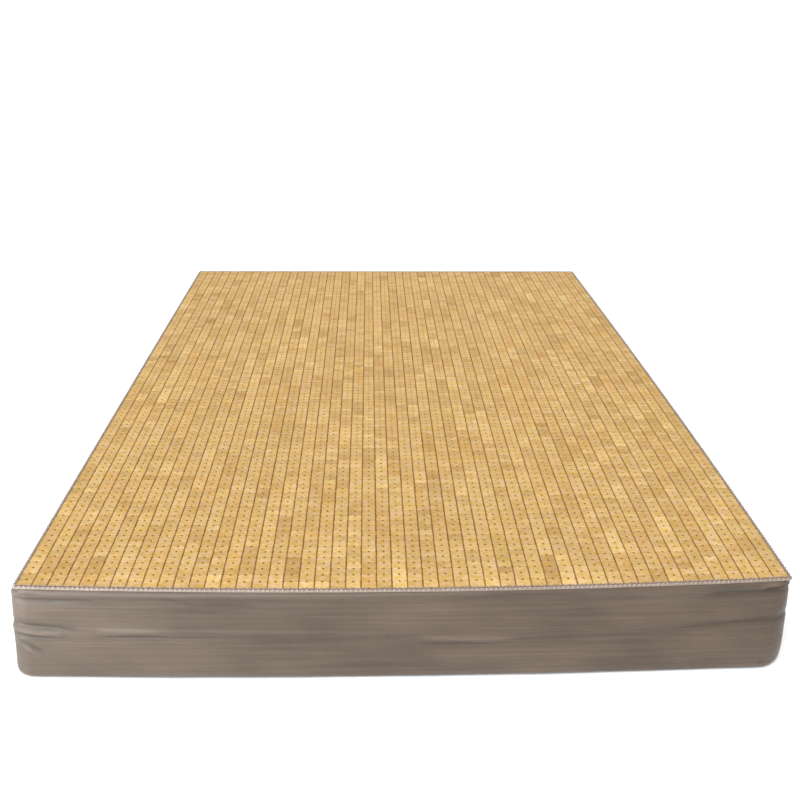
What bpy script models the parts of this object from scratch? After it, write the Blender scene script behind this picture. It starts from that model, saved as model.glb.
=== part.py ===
"""Fitted bamboo tile mat, stretched over the plain mattress that it fits.

Units are metres, +Z is up. The mat's width runs along X and its length along Y,
with the front edge at -Y. The origin is on the floor under the middle.
"""
import math

import bmesh
import bpy

# The tile field, as sold: 50 columns of tiles on a 1.5 x 2.0 m mat.
MAT_WIDTH = 1.500
MAT_LENGTH = 2.000
MAT_TOP = 0.200
MAT_THICK = 0.005
RIB_COUNT = 50
GROOVE_WIDTH = 0.0026
GROOVE_DEPTH = 0.0011

# How far the middle of each side stands out past its corners, at the rim.
BOW_FRONT = 0.016
BOW_BACK = 0.012
BOW_LEFT = 0.003
BOW_RIGHT = 0.010
# The right side bulges most towards the front.
BOW_RIGHT_SKEW = -0.28
# The share of the bows that is left where the cloth turns under the mattress.
BOW_AT_FOOT = 0.8

# How far the rim sinks in the middle of a side, where the tiles pass the
# mattress's rounded edge, and the width of the strip that sinks.
DROOP_ENDS = 0.004
DROOP_SIDES = 0.003
DROOP_STRIP = 0.036

TOUCH_GAP = 0.0003
BRAID_RADIUS = 0.0032
CLOTH_THICK = 0.002
HEM_WIDTH = 0.050

# Corner radii in plan: the cloth at its seam, and at its foot for the front
# left, front right, back right and back left corner.
SEAM_CORNER = 0.022
FOOT_CORNERS = (0.026, 0.046, 0.036, 0.032)
MATTRESS_CORNERS = (0.030, 0.036, 0.030, 0.030)
TIGHTEST_CORNER = 0.015

HALF_W = MAT_WIDTH / 2
HALF_L = MAT_LENGTH / 2
MAT_UNDER = MAT_TOP - MAT_THICK
BRAID_HEIGHT = MAT_TOP - BRAID_RADIUS

# Columns round the parts: along the front, along the back, round a corner.
FRONT_STEPS = 40
BACK_STEPS = 12
CORNER_STEPS = 5
# Stations along the sides, as shares of half the length. The tile field uses
# them too, so that rim, braid and cloth bend at the same places.
SIDE_STATIONS = (-0.64, -0.32, 0.0, 0.32, 0.64)

# The cloth hangs from a seam under the rim, and rolls over below the braid.
# "out" is past the mat's rim.
SEAM_ROWS = (
    # out, below the mat's underside
    (-0.0100, 0.0005),
    (-0.0010, 0.0006),
    (0.0030, 0.0018),
    (0.0052, 0.0045),
)
# Then it falls down the mattress's side and turns under it as the hem.
WALL_ROWS = (
    # out, height
    (0.0050, 0.1850),
    (0.0040, 0.1780),
    (0.0022, 0.1700),
    (0.0020, 0.1420),
    (0.0022, 0.1120),
    (0.0025, 0.1000),
    (0.0022, 0.0920),
    (0.0015, 0.0760),
    (0.0005, 0.0450),
    (-0.0010, 0.0200),
    (-0.0050, 0.0060),
    (-0.0160, 0.0000),
    (-0.0160 - HEM_WIDTH, 0.0000),
)

# The cloth of the two sides stands further out near the front corners.
CORNER_FULLNESS = (
    # side, out half way up, out at the foot, reach along the cloth
    (-1, 0.0135, 0.0140, 0.22),
    (1, 0.0110, 0.0080, 0.22),
)
# The height below the seam over which that room opens.
FULLNESS_OPENS = 0.020

# Main creases on the front of the cloth: soft ridges (+) and troughs (-),
# each a straight line on the face with its half width and its height.
CREASES = (
    # x from, z from, x to, z to, half width, height
    (-0.76, 0.184, 0.02, 0.186, 0.007, 0.0030),
    (-0.77, 0.171, -0.60, 0.169, 0.007, -0.0026),
    (-0.79, 0.120, -0.63, 0.108, 0.008, -0.0030),
    (-0.79, 0.110, -0.66, 0.099, 0.008, 0.0034),
    (-0.79, 0.100, -0.64, 0.089, 0.007, -0.0024),
    (-0.60, 0.108, -0.45, 0.106, 0.009, 0.0026),
    (-0.61, 0.095, -0.45, 0.094, 0.008, -0.0022),
    (0.02, 0.092, 0.22, 0.089, 0.010, 0.0024),
    (0.02, 0.078, 0.21, 0.075, 0.009, -0.0020),
    (0.57, 0.166, 0.77, 0.174, 0.008, -0.0026),
    (0.52, 0.100, 0.78, 0.115, 0.009, -0.0024),
)

# The mattress, from its underside round to its top. "out" is past the rim.
MATTRESS_ROWS = (
    # out, height
    (-0.0560, CLOTH_THICK + TOUCH_GAP),
    (-0.0260, 0.0065),
    (-0.0140, 0.0190),
    (-0.0100, 0.0420),
    (-0.0100, 0.1550),
    (-0.0150, 0.1740),
    (-0.0270, 0.1880),
    (-0.0460, MAT_UNDER - TOUCH_GAP),
)
MATTRESS_FRONT_STEPS = 12


def clear_scene():
    """Start from nothing."""
    for old in list(bpy.data.objects):
        bpy.data.objects.remove(old, do_unlink=True)


def plain_material(name, colour, roughness, metallic=0.0):
    """A Principled material from a linear colour."""
    material = bpy.data.materials.new(name)
    material.use_nodes = True
    shader = material.node_tree.nodes["Principled BSDF"]
    shader.inputs["Base Color"].default_value = (*colour, 1.0)
    shader.inputs["Roughness"].default_value = roughness
    shader.inputs["Metallic"].default_value = metallic
    return material


def place_object(name, data, material, collection):
    """Put mesh or curve data in the object's collection under its own name."""
    piece = bpy.data.objects.new(name, data)
    data.materials.append(material)
    collection.objects.link(piece)
    return piece


def bowed(x, y, share=1.0):
    """Where a point of the square plan lies once its four sides bulge."""
    across, along = x / HALF_W, y / HALF_L
    side_bow = BOW_RIGHT * (1.0 + BOW_RIGHT_SKEW * along) if x > 0 else BOW_LEFT
    end_bow = BOW_BACK if y > 0 else BOW_FRONT
    return (
        x + share * side_bow * across * max(0.0, 1.0 - along * along),
        y + share * end_bow * along * max(0.0, 1.0 - across * across),
    )


def droop(x, y):
    """How far the rim sinks at a place on the mat, or beside it."""
    across, along = x / HALF_W, y / HALF_L
    from_end = min(1.0, max(0.0, (HALF_L - abs(y)) / DROOP_STRIP))
    from_side = min(1.0, max(0.0, (HALF_W - abs(x)) / DROOP_STRIP))
    at_end = DROOP_ENDS * (1.0 - from_end) * max(0.0, 1.0 - across * across)
    at_side = DROOP_SIDES * (1.0 - from_side) * max(0.0, 1.0 - along * along)
    return at_end + at_side


def spread(first, last, steps):
    """Evenly spaced values from first up to, but not including, last."""
    return [first + (last - first) * k / steps for k in range(steps)]


def plan_ring(out, corners, front_steps):
    """Points and outward directions round the mat's plan, anticlockwise.

    Each is (x, y, out x, out y), on a rectangle that lies "out" past the rim.
    corners are its four radii, from the front left one.
    """
    half_w, half_l = HALF_W + out, HALF_L + out
    front_left, front_right, back_right, back_left = corners
    front = spread(-half_w + front_left, half_w - front_right, front_steps)[1:]
    back = spread(half_w - back_right, -half_w + back_left, BACK_STEPS)[1:]
    stations = [s * HALF_L for s in SIDE_STATIONS]
    straights = (
        [(x, -half_l) for x in front],
        [(half_w, y) for y in stations],
        [(x, half_l) for x in back],
        [(-half_w, y) for y in reversed(stations)],
    )
    ring = []
    for number, (bend, straight) in enumerate(zip(corners, straights)):
        toward_x = -1 if number in (0, 3) else 1
        toward_y = -1 if number in (0, 1) else 1
        centre_x, centre_y = toward_x * (half_w - bend), toward_y * (half_l - bend)
        for step in range(CORNER_STEPS + 1):
            angle = math.radians(180 + 90 * (number + step / CORNER_STEPS))
            out_x, out_y = math.cos(angle), math.sin(angle)
            ring.append((centre_x + bend * out_x, centre_y + bend * out_y, out_x, out_y))
        ring += [(x, y, round(out_x), round(out_y)) for x, y in straight]
    return ring


def offset_corners(corners, out):
    """Corner radii of a ring that lies "out" past the one they are given for."""
    return [max(radius + out, TIGHTEST_CORNER) for radius in corners]


def wrapped_sheet(rings):
    """A grid wrapped round into an open tube through the points of each ring."""
    shell = bmesh.new()
    across = len(rings[0])
    bmesh.ops.create_grid(shell, x_segments=across, y_segments=len(rings) - 1, size=1.0)
    shell.verts.ensure_lookup_table()
    for number, vertex in enumerate(list(shell.verts)):
        row, column = divmod(number, across + 1)
        vertex.co = rings[row][column % across]
    bmesh.ops.remove_doubles(shell, verts=shell.verts, dist=0.00001)
    return shell


def finish_mesh(name, shell):
    """Turn a bmesh into named mesh data with smooth faces and sharp edges."""
    mesh = bpy.data.meshes.new(name)
    shell.to_mesh(mesh)
    shell.free()
    mesh.shade_smooth()
    mesh.set_sharp_from_angle(angle=math.radians(35))
    return mesh


def crease_height(x, z):
    """The sum of the front's ridges and troughs at a place on its face."""
    total = 0.0
    for from_x, from_z, to_x, to_z, half_width, height in CREASES:
        run = (x - from_x) / (to_x - from_x)
        if 0.0 < run < 1.0:
            apart = (z - from_z - run * (to_z - from_z)) / half_width
            total += height * math.exp(-apart * apart) * math.sin(math.pi * run) ** 0.5
    return total


def fullness(x, y, z):
    """Extra room beside the front corners, opening from the seam down."""
    total = 0.0
    for side, out_half_way, out_at_foot, reach in CORNER_FULLNESS:
        apart = math.hypot(x - side * HALF_W, y + HALF_L) / reach
        opened = min(1.0, (MAT_UNDER - z) / FULLNESS_OPENS)
        low = max(0.0, 1.0 - 2.0 * z / MAT_UNDER)
        out = out_half_way * (1.0 - low) + out_at_foot * low
        total += out * opened * math.exp(-apart * apart)
    return total


def bowed_wall(x, y, z):
    """A point of a wall, whose bow grows from its foot up to the rim."""
    share = BOW_AT_FOOT + (1.0 - BOW_AT_FOOT) * z / MAT_TOP
    return (*bowed(x, y, share), z)


def seam_ring(out, below):
    """A row of the cloth at its seam, which follows the rim as it sinks."""
    ring = plan_ring(out, offset_corners([SEAM_CORNER] * 4, out), FRONT_STEPS)
    return [bowed_wall(x, y, MAT_UNDER - below - droop(x, y)) for x, y, _, _ in ring]


def wall_ring(out, z):
    """A row of the cloth down the side, with the creases of the front."""
    low = 1.0 - z / MAT_UNDER
    radii = [SEAM_CORNER + (radius - SEAM_CORNER) * low for radius in FOOT_CORNERS]
    points = []
    for x, y, out_x, out_y in plan_ring(out, offset_corners(radii, out), FRONT_STEPS):
        room = fullness(x, y, z) * abs(out_x) if z > 0.0 else 0.0
        crease = crease_height(x, z) if z > 0.0 and out_y < -0.5 else 0.0
        points.append(bowed_wall(x + (room + crease) * out_x, y + crease * out_y, z))
    return points


def mattress_ring(out, z):
    """A row of points on the mattress's side."""
    ring = plan_ring(out, offset_corners(MATTRESS_CORNERS, out), MATTRESS_FRONT_STEPS)
    return [bowed_wall(x, y, z) for x, y, _, _ in ring]


def build_bamboo_mat(collection):
    """The tile field: one flat solid whose top has a rib for each column."""
    pitch = MAT_WIDTH / RIB_COUNT
    half_groove = GROOVE_WIDTH / 2
    lines = [(-HALF_W, 0.0)]
    for groove in range(1, RIB_COUNT):
        middle = -HALF_W + groove * pitch
        lines += [(middle - half_groove, 0.0), (middle, GROOVE_DEPTH), (middle + half_groove, 0.0)]
    lines.append((HALF_W, 0.0))
    strip = DROOP_STRIP / HALF_L
    stations = [s * HALF_L for s in (-1.0, strip - 1.0, *SIDE_STATIONS, 1.0 - strip, 1.0)]

    field = bmesh.new()
    bmesh.ops.create_grid(field, x_segments=len(lines) - 1, y_segments=len(stations) - 1, size=1.0)
    under = bmesh.ops.extrude_face_region(field, geom=field.faces[:])
    lower = [item for item in under["geom"] if isinstance(item, bmesh.types.BMVert)]
    for vertex in lower:
        vertex.co.z = -1.0
    for vertex in field.verts:
        x, sunk = lines[round((vertex.co.x + 1.0) / 2.0 * (len(lines) - 1))]
        y = stations[round((vertex.co.y + 1.0) / 2.0 * (len(stations) - 1))]
        height = MAT_UNDER if vertex.co.z < -0.5 else MAT_TOP - sunk
        vertex.co = (*bowed(x, y), height - droop(x, y))
    bmesh.ops.recalc_face_normals(field, faces=field.faces)
    material = plain_material("bamboo", (0.62, 0.43, 0.17), 0.42)
    place_object("bamboo_mat", finish_mesh("bamboo_mat", field), material, collection)


def build_edge_braid(collection):
    """The looped braid round the rim: one closed ring."""
    out = BRAID_RADIUS + TOUCH_GAP
    ring = plan_ring(out, [out] * 4, FRONT_STEPS)
    curve = bpy.data.curves.new("edge_braid", "CURVE")
    curve.dimensions = "3D"
    curve.bevel_depth = BRAID_RADIUS
    curve.bevel_resolution = 2
    spline = curve.splines.new("POLY")
    spline.points.add(len(ring) - 1)
    spline.use_cyclic_u = True
    for point, (x, y, _, _) in zip(spline.points, ring):
        point.co = (*bowed(x, y), BRAID_HEIGHT - droop(x, y), 1.0)
    material = plain_material("braid", (0.55, 0.42, 0.35), 0.85)
    place_object("edge_braid", curve, material, collection)


def build_cover_skirt(collection):
    """The cloth: an open tube of cloth from the seam to the hem, made thick."""
    rings = [seam_ring(*row) for row in SEAM_ROWS] + [wall_ring(*row) for row in WALL_ROWS]
    shell = wrapped_sheet(rings)
    front = min(shell.faces, key=lambda face: face.calc_center_median().y)
    if front.normal.y > 0.0:
        bmesh.ops.reverse_faces(shell, faces=shell.faces)
    material = plain_material("taupe_cloth", (0.24, 0.20, 0.165), 0.6)
    cover = place_object("cover_skirt", finish_mesh("cover_skirt", shell), material, collection)
    thicken = cover.modifiers.new("Cloth thickness", "SOLIDIFY")
    thicken.thickness = CLOTH_THICK
    thicken.offset = -1.0
    thicken.use_even_offset = True


def build_mattress(collection):
    """The plain block that the cover fits: its sides, closed top and bottom."""
    block = wrapped_sheet([mattress_ring(*row) for row in MATTRESS_ROWS])
    rims = [edge for edge in block.edges if edge.is_boundary]
    bmesh.ops.holes_fill(block, edges=rims, sides=0)
    bmesh.ops.recalc_face_normals(block, faces=block.faces)
    material = plain_material("ticking", (0.78, 0.76, 0.72), 0.8)
    place_object("mattress", finish_mesh("mattress", block), material, collection)


def main():
    clear_scene()
    collection = bpy.data.collections.new("fitted_bamboo_mat")
    bpy.context.scene.collection.children.link(collection)
    build_mattress(collection)
    build_cover_skirt(collection)
    build_bamboo_mat(collection)
    build_edge_braid(collection)


main()
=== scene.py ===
"""Looks of a fitted bamboo tile mat on the plain mattress that it fits.

Laid out as an add-on and run as a script. Units are metres, +Z is up, the mat's
width runs along X and its length along Y, with the front edge at -Y. Each piece
lies on the solid that it stands for, so the sizes below repeat that solid's own.
"""
import math

import bmesh
import bpy
import numpy as np
from bpy.props import FloatProperty, FloatVectorProperty, IntProperty, PointerProperty
from mathutils import Matrix, Vector


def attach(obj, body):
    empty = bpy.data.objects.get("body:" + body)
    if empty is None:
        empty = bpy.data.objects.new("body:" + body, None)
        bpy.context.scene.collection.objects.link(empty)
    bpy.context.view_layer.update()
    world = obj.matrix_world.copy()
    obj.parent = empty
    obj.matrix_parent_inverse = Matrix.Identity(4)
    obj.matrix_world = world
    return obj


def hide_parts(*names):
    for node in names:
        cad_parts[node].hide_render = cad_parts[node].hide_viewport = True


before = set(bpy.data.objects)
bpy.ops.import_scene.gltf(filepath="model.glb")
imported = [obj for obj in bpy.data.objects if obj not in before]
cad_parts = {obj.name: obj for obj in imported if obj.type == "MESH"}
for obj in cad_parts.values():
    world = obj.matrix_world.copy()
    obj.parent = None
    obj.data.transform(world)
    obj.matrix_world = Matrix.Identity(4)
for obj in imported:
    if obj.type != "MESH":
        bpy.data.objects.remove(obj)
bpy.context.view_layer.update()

bl_info = {
    "name": "Fitted Bamboo Mat",
    "version": (1, 0, 0),
    "blender": (4, 5, 0),
    "location": "3D View > Sidebar > Bamboo Mat",
    "description": "Builds a bamboo tile mat with a braid and a cloth skirt, on its mattress",
    "category": "Add Mesh",
}

# The tile field, and how far the middle of each side stands out past its corners.
MAT_WIDTH = 1.500
MAT_LENGTH = 2.000
MAT_TOP = 0.200
MAT_UNDER = 0.195
HALF_W = MAT_WIDTH / 2
HALF_L = MAT_LENGTH / 2
BOW_FRONT = 0.016
BOW_BACK = 0.012
BOW_LEFT = 0.003
BOW_RIGHT = 0.010
BOW_RIGHT_SKEW = -0.28
BOW_AT_FOOT = 0.8

# How far the rim sinks where the tiles pass the mattress's rounded edge.
DROOP_ENDS = 0.004
DROOP_SIDES = 0.003
DROOP_STRIP = 0.036

# The braid's ring: its radius, how far past the rim it lies, and its height.
BRAID_RADIUS = 0.0032
BRAID_OUT = 0.0035
BRAID_HEIGHT = MAT_TOP - BRAID_RADIUS
CORE_RADIUS = 0.0030
CORE_STEPS = 820
CORE_SIDES = 8

# A bead on the core: its half sizes, its place out and up, how far its top
# leans out, and its slant along the braid.
BEAD_HALF_SIZES = (0.0022, 0.0021, 0.0034)
BEAD_OUT = 0.0006
BEAD_UP = 0.0015
BEAD_LEAN = math.radians(42.0)
BEAD_SLANT = 0.35

# A loop over the core: its radius and its thread's, its place out and up, the
# way that it faces, how wide and tall it is drawn, its slant and its curl.
LOOP_RADIUS = 0.0030
LOOP_THREAD = 0.0008
LOOP_OUT = -0.0002
LOOP_UP = 0.0019
LOOP_FACING = math.radians(52.0)
LOOP_WIDE = 1.24
LOOP_TALL = 1.16
LOOP_SLANT = 0.2
LOOP_CURL = 0.4

# The core's tone, as a share of the loops' colour.
CORE_TONE = 0.85
# Steps of the line round the rim, how close beside a place its direction is
# taken, and how much beads and loops may differ in size and in turn.
RIM_STEPS = (600, 700, 600)
RIM_NEAR = 0.0035
SWELL_MOST = 0.12
TURN_SHARE = 1.6
BEAD_WOBBLE = 0.05
LOOP_WOBBLE = 0.04
BRAID_SEED = 787

# Corner radii in plan: at the seam, and at the foot and in the mattress for the
# front left, front right, back right and back left corner.
SEAM_CORNER = 0.022
FOOT_CORNERS = (0.026, 0.046, 0.036, 0.032)
MATTRESS_CORNERS = (0.030, 0.036, 0.030, 0.030)
TIGHTEST_CORNER = 0.015
CORNER_STEPS = 8

# The cloth from its seam down the wall and under the mattress as the hem. Its
# creases fade out between two heights near the seam.
SEAM_FOOT = 0.1905
WALL_HEAD = 0.1850
CREASES_END = (0.1885, 0.1934)
CLOTH_ROWS = (
    # out past the rim, height
    (-0.0100, 0.1945),
    (-0.0010, 0.1945),
    (0.0038, 0.1941),
    (0.0060, SEAM_FOOT),
    (0.0062, WALL_HEAD),
    (0.0042, 0.1780),
    (0.0022, 0.1700),
    (0.0020, 0.1420),
    (0.0022, 0.1120),
    (0.0025, 0.1000),
    (0.0022, 0.0920),
    (0.0015, 0.0760),
    (0.0005, 0.0450),
    (-0.0010, 0.0200),
    (-0.0050, 0.0060),
    (-0.0160, 0.0000),
    (-0.0660, 0.0000),
)
CLOTH_THICK = 0.0011
ROW_STEP = 0.0024
MOST_ROWS = 8
HEM_ROWS = 2
COVER_STEPS = (240, 108, 80)

# The extra room in the cloth of the two sides near the front corners.
CORNER_FULLNESS = (
    # side, out half way up, out at the foot, reach along the cloth
    (-1, 0.0135, 0.0140, 0.22),
    (1, 0.0110, 0.0080, 0.22),
)
FULLNESS_OPENS = 0.020

# The cloth's creases, each a line on one face of it, with its half width and its
# height: a ridge (+) or a trough (-).
FRONT_FOLDS = (
    # along from, z from, along to, z to, half width, height
    (-0.76, 0.184, 0.02, 0.186, 0.007, 0.0030),
    (-0.77, 0.171, -0.60, 0.169, 0.007, -0.0026),
    (-0.79, 0.120, -0.63, 0.108, 0.008, -0.0030),
    (-0.79, 0.110, -0.66, 0.099, 0.008, 0.0034),
    (-0.79, 0.100, -0.64, 0.089, 0.007, -0.0024),
    (-0.60, 0.108, -0.45, 0.106, 0.009, 0.0026),
    (-0.61, 0.095, -0.45, 0.094, 0.008, -0.0022),
    (0.02, 0.092, 0.22, 0.089, 0.010, 0.0024),
    (0.02, 0.078, 0.21, 0.075, 0.009, -0.0020),
    (0.57, 0.166, 0.77, 0.174, 0.008, -0.0026),
    (0.52, 0.100, 0.78, 0.115, 0.009, -0.0024),
)
FRONT_FINE = (
    (-0.756, 0.1860, -0.698, 0.1860, 0.0030, -0.0014),
    (-0.756, 0.1715, -0.608, 0.1700, 0.0035, -0.0018),
    (-0.762, 0.118, -0.650, 0.109, 0.0035, -0.0020),
    (-0.760, 0.108, -0.686, 0.095, 0.0030, 0.0020),
    (-0.758, 0.102, -0.660, 0.089, 0.0030, -0.0018),
    (-0.760, 0.090, -0.728, 0.083, 0.0030, 0.0014),
    (-0.742, 0.0800, -0.698, 0.0580, 0.0034, -0.0048),
    (-0.736, 0.0690, -0.702, 0.0520, 0.0030, 0.0022),
    (-0.728, 0.0880, -0.700, 0.0740, 0.0030, 0.0018),
    (-0.590, 0.108, -0.472, 0.106, 0.0040, 0.0017),
    (-0.592, 0.096, -0.468, 0.095, 0.0034, -0.0017),
    (0.028, 0.093, 0.204, 0.088, 0.0040, 0.0014),
    (0.040, 0.078, 0.195, 0.075, 0.0034, -0.0014),
    (0.582, 0.167, 0.743, 0.173, 0.0034, -0.0018),
    (0.536, 0.101, 0.751, 0.113, 0.0034, -0.0017),
    (0.694, 0.1840, 0.758, 0.1905, 0.0040, 0.0046),
    (0.702, 0.1760, 0.764, 0.1860, 0.0034, -0.0058),
    (-0.476, 0.177, -0.404, 0.161, 0.0045, -0.0020),
    (-0.425, 0.1605, -0.283, 0.1585, 0.0045, -0.0020),
    (-0.446, 0.150, -0.358, 0.144, 0.0040, -0.0013),
    (-0.745, 0.152, -0.652, 0.151, 0.0050, 0.0013),
    (-0.480, 0.0935, 0.060, 0.0920, 0.0040, -0.0011),
    (0.180, 0.086, 0.560, 0.096, 0.0045, -0.0011),
)
RIGHT_FOLDS = (
    (-1.02, 0.170, -0.84, 0.176, 0.008, -0.0022),
    (-1.02, 0.116, -0.80, 0.100, 0.009, -0.0024),
    (-0.98, 0.104, -0.79, 0.090, 0.008, 0.0020),
    (-0.31, 0.096, -0.09, 0.092, 0.009, 0.0020),
    (-0.28, 0.082, -0.08, 0.079, 0.008, -0.0016),
    (0.33, 0.128, 0.58, 0.121, 0.010, -0.0018),
    (0.76, 0.103, 1.01, 0.117, 0.009, 0.0022),
    (0.79, 0.091, 1.01, 0.102, 0.008, -0.0020),
)
BACK_FOLDS = (
    (-0.78, 0.112, -0.57, 0.098, 0.009, -0.0022),
    (-0.77, 0.099, -0.60, 0.087, 0.008, 0.0020),
    (-0.22, 0.101, 0.03, 0.097, 0.010, 0.0018),
    (-0.20, 0.086, 0.02, 0.083, 0.008, -0.0016),
    (0.48, 0.096, 0.76, 0.110, 0.009, -0.0022),
    (0.56, 0.166, 0.77, 0.172, 0.008, -0.0018),
)
LEFT_FOLDS = (
    (-1.02, 0.118, -0.83, 0.105, 0.008, -0.0016),
    (-1.02, 0.107, -0.85, 0.095, 0.008, 0.0014),
    (-0.52, 0.090, -0.28, 0.094, 0.009, 0.0018),
    (0.10, 0.103, 0.35, 0.099, 0.010, -0.0018),
    (0.12, 0.088, 0.34, 0.085, 0.008, 0.0016),
    (0.77, 0.095, 1.01, 0.110, 0.009, -0.0022),
    (0.80, 0.168, 1.01, 0.174, 0.008, -0.0018),
)
FACES = (
    # creases, axis and sign of the outward direction, axis along the face
    (FRONT_FOLDS + FRONT_FINE, 1, -1, 0),
    (RIGHT_FOLDS, 0, 1, 1),
    (BACK_FOLDS, 1, 1, 0),
    (LEFT_FOLDS, 0, -1, 1),
)
# Long, faint pulls across each face, where the cloth is stretched.
PULL_COUNT = 60
PULL_LONGEST = 0.50
PULL_HIGHEST = 0.00080
PULL_BAND = (0.020, 0.182)
PULL_RISE = 0.004
PULL_WIDTHS = (0.0030, 0.0065)
# A small dent near the foot of the front: place along, height, reach, depth.
DENT = (0.704, 0.022, 0.0065, 0.0022)
# Slow unevenness of the cloth: waves per metre along and up, and height. The
# waves wander by SLACK_DRIFT radians, slowly along each axis.
SLACK_WAVES = ((1.9, 3.0, 0.00075), (4.3, -6.5, 0.00045), (9.1, 11.0, 0.00022))
SLACK_DRIFT = 1.3
DRIFT_RATES = (3.1, 2.3)
# How squarely the cloth faces a side before that side's creases show, and the
# heights by which they fade out at the foot.
FACING_RANGE = (0.35, 0.85)
FOOT_RANGE = (0.0, 0.012)
CLOTH_SEED = 61

# The mattress from its underside round to its top.
MATTRESS_ROWS = (
    # out past the rim, height
    (-0.0560, 0.0023),
    (-0.0260, 0.0065),
    (-0.0140, 0.0190),
    (-0.0100, 0.0420),
    (-0.0100, 0.1550),
    (-0.0150, 0.1740),
    (-0.0270, 0.1880),
    (-0.0460, 0.1947),
)
MATTRESS_ROW_STEP = 0.006
MATTRESS_MOST_ROWS = 6
MATTRESS_STEPS = (60, 80, 60)

# How far tiles lie off true: turned, tipped, leaning, higher, across and along.
# None goes past OFF_TRUE_MOST of these spreads.
TILE_BLOCKS = 5
TILE_TURN = 0.0045
TILE_TIP = 0.0060
TILE_LEAN = 0.0050
TILE_RISE = 0.00007
TILE_ACROSS = 0.00016
TILE_ALONG = 0.00005
OFF_TRUE_MOST = 2.2
# How far a column lies ahead of the next, at most, and its slow waves.
COLUMN_AHEAD = 0.00042
AHEAD_MOST = 0.0007
COLUMN_WAVE = 0.00022
# Spreads of the tone and the hue, for strips of tiles and for single tiles.
STRIP_TONE, TILE_TONE = 0.10, 0.08
STRIP_HUE, TILE_HUE = 0.17, 0.10
LONGEST_STRIP = 5
TILE_SEED = 5400
# The worn rim's drop, as a share of its width.
RIM_DROP = 0.6

# How far under the tiles' top the cords' middles lie, and the cords' steps.
GAP_CORD_DEPTH = 0.0015
MIDDLE_CORD_DEPTH = 0.0016
CORD_STEPS = 44
# The net stops short of the rim, and lies a little under the tiles.
FIELD_INSET = 0.0005
NET_BELOW = 0.0002
NET_THICK = 0.0005
NET_STEPS = (60, 72)

# The lights: place, target and energy, and their own size or width.
WINDOW = ((-0.25, -2.9, 3.8), (0.0, 0.0, 0.0), 3.5)
WINDOW_ANGLE = math.radians(34.0)
SIDE = ((-2.2, -2.5, 0.34), (-0.5, -1.0, 0.12), 90.0)
SIDE_SIZE = 0.5
SIDE_COLOUR = (0.78, 0.90, 1.0)
SKY_STRENGTH = 0.36
FLOOR_SIZE = 400.0

# Where the photograph was taken from, and how the camera was held.
CAMERA_PLACE = (-0.083, -2.691, 1.339)
CAMERA_YAW = math.radians(1.97)
CAMERA_PITCH = math.radians(7.11)
CAMERA_ROLL = math.radians(0.63)
CAMERA_LENS = 42.26
CAMERA_SENSOR = 36.0
CAMERA_DROP = 0.368
TINY = 0.00001


def length(name, note, default):
    """A size in the panel."""
    return FloatProperty(name=name, description=note, default=default, unit="LENGTH")


def colour(name, note, default):
    """A colour in the panel."""
    return FloatVectorProperty(name=name, description=note, default=default, subtype="COLOR")


class MatSizes(bpy.types.PropertyGroup):
    """Sizes that a maker of such mats would change."""

    columns: IntProperty(name="Columns", description="Tiles across it", default=50, min=10)
    rows: IntProperty(name="Rows", description="Tiles along it", default=108, min=20)
    column_gap: length("Column gap", "Gap between columns, where the cord shows", 0.0024)
    row_gap: length("Row gap", "Joint between the tiles of a column", 0.00022)
    tile_thick: length("Tile thickness", "Thickness of one tile", 0.0041)
    tile_corner: length("Tile corner", "Size of the tile's cut corners", 0.0019)
    tile_rim: length("Tile rim", "Width of the worn bevel round the tile's top", 0.0006)
    notch_wide: length("Notch width", "Width of the cord notch in the long edges", 0.0066)
    notch_deep: length("Notch depth", "Depth of that notch", 0.0034)
    cord_radius: length("Cord radius", "Radius of the cords that string the tiles", 0.0010)
    loop_pitch: length("Loop pitch", "Spacing of the braid's loops", 0.0093)


class MatColours(bpy.types.PropertyGroup):
    """Colours of the mat's materials."""

    bamboo_deep: colour("Bamboo, deep", "The darkest tiles", (0.42, 0.240, 0.068))
    bamboo_pale: colour("Bamboo, pale", "The palest tiles", (0.79, 0.560, 0.220))
    bamboo_orange: colour("Bamboo, orange", "Tiles with an orange tone", (0.64, 0.360, 0.100))
    bamboo_green: colour("Bamboo, green", "Tiles with a greenish tone", (0.60, 0.430, 0.130))
    cord: colour("Cord", "The stringing cords and the net", (0.345, 0.158, 0.042))
    braid_cream: colour("Braid, cream", "The beads of the braid", (0.350, 0.272, 0.225))
    braid_mauve: colour("Braid, mauve", "The loops and core", (0.320, 0.236, 0.185))
    cloth: colour("Cloth", "The taupe cloth", (0.088, 0.061, 0.042))
    ticking: colour("Ticking", "The mattress's cloth", (0.78, 0.76, 0.71))
    floor: colour("Floor", "The plain floor", (0.90, 0.90, 0.90))


class MatSettings(bpy.types.PropertyGroup):
    """All that the panel offers."""

    sizes: PointerProperty(type=MatSizes)
    colours: PointerProperty(type=MatColours)


# Node helpers


def add_node(tree, kind, inputs=(), **settings):
    """Add a node; inputs are pairs of a socket and its value or its source."""
    made = tree.nodes.new(kind)
    for key, value in settings.items():
        setattr(made, key, value)
    for socket, value in inputs:
        if isinstance(value, bpy.types.NodeSocket):
            tree.links.new(value, made.inputs[socket])
        else:
            made.inputs[socket].default_value = value
    return made


def sums(tree, operation, *values):
    """One Math node."""
    pairs = list(enumerate(values))
    return add_node(tree, "ShaderNodeMath", pairs, operation=operation).outputs[0]


def remap(tree, value, low, high, to_low=0.0, to_high=1.0):
    """Map a range smoothly to another one."""
    pairs = [("Value", value), ("From Min", low), ("From Max", high)]
    pairs += [("To Min", to_low), ("To Max", to_high)]
    made = add_node(tree, "ShaderNodeMapRange", pairs, interpolation_type="SMOOTHSTEP")
    return made.outputs["Result"]


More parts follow.
